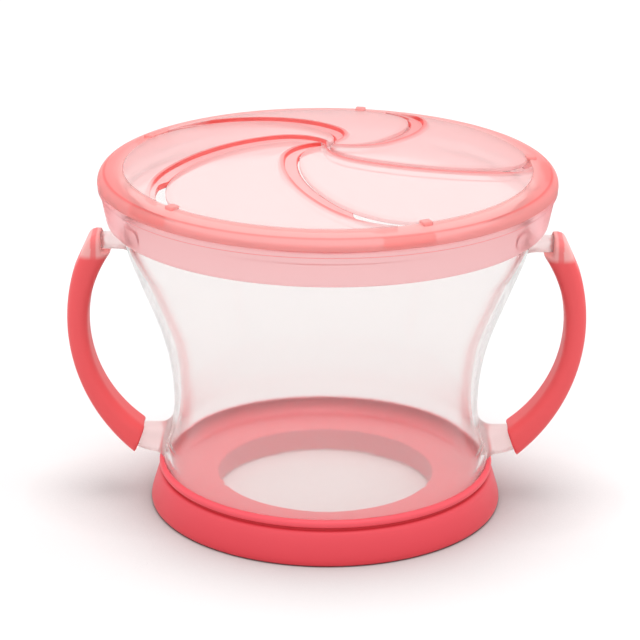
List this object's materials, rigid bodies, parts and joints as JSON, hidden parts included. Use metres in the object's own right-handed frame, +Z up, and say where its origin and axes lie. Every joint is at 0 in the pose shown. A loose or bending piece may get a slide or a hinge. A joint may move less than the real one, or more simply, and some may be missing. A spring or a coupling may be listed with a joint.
{
  "type": "toddler snack container",
  "caption": "Clear two-handled snack bowl on a soft non-slip base ring, with a clip-on lid whose soft domed cap is slit into springy pinwheel flaps for a small hand.",
  "frame": {"origin": "on the table, at the middle of the base ring's foot, under the bowl's axis", "axes": "+Z up along the bowl's axis; +X along the line of the two handles"},
  "size_m": [0.1238, 0.108, 0.0903],
  "materials": {
    "clear_bowl": "clear polypropylene, faintly milky",
    "coral_rubber": "soft-touch satin",
    "pink_ring": "satin, slightly see-through",
    "soft_cap": "soft satin, slightly see-through",
    "soft_flap": "soft satin, slightly see-through"
  },
  "bodies": {
    "container": {"bowl": "clear_bowl", "base_ring": "coral_rubber", "grip_left": "coral_rubber", "grip_right": "coral_rubber"},
    "lid": {"lid_ring": "pink_ring", "cap_rim": "soft_cap"},
    "flap_1": {"flap_1": "soft_flap"},
    "flap_2": {"flap_2": "soft_flap"},
    "flap_3": {"flap_3": "soft_flap"},
    "flap_4": {"flap_4": "soft_flap"},
    "flap_5": {"flap_5": "soft_flap"}
  },
  "joints": [
    {"name": "lid_lift", "type": "slide", "parent": "container", "child": "lid", "axis": [0, 0, 1], "range_m": [0, 0.06]},
    {"name": "flap_1_bend", "type": "hinge", "parent": "lid", "child": "flap_1", "pos_m": [0.03382, -0.01859, 0.08372], "axis": [-0.4818, -0.8763, 0], "range_deg": [-15, 50], "stiffness_Nm_per_rad": 0.02},
    {"name": "flap_2_bend", "type": "hinge", "parent": "lid", "child": "flap_2", "pos_m": [0.02813, 0.02642, 0.08372], "axis": [0.6845, -0.729, 0], "range_deg": [-15, 50], "stiffness_Nm_per_rad": 0.02},
    {"name": "flap_3_bend", "type": "hinge", "parent": "lid", "child": "flap_3", "pos_m": [-0.01643, 0.03492, 0.08372], "axis": [0.9048, 0.4258, 0], "range_deg": [-15, 50], "stiffness_Nm_per_rad": 0.02},
    {"name": "flap_4_bend", "type": "hinge", "parent": "lid", "child": "flap_4", "pos_m": [-0.03829, -0.00484, 0.08372], "axis": [-0.1253, 0.9921, 0], "range_deg": [-15, 50], "stiffness_Nm_per_rad": 0.02},
    {"name": "flap_5_bend", "type": "hinge", "parent": "lid", "child": "flap_5", "pos_m": [-0.00723, -0.03791, 0.08372], "axis": [-0.9823, 0.1874, 0], "range_deg": [-15, 50], "stiffness_Nm_per_rad": 0.02}
  ]
}
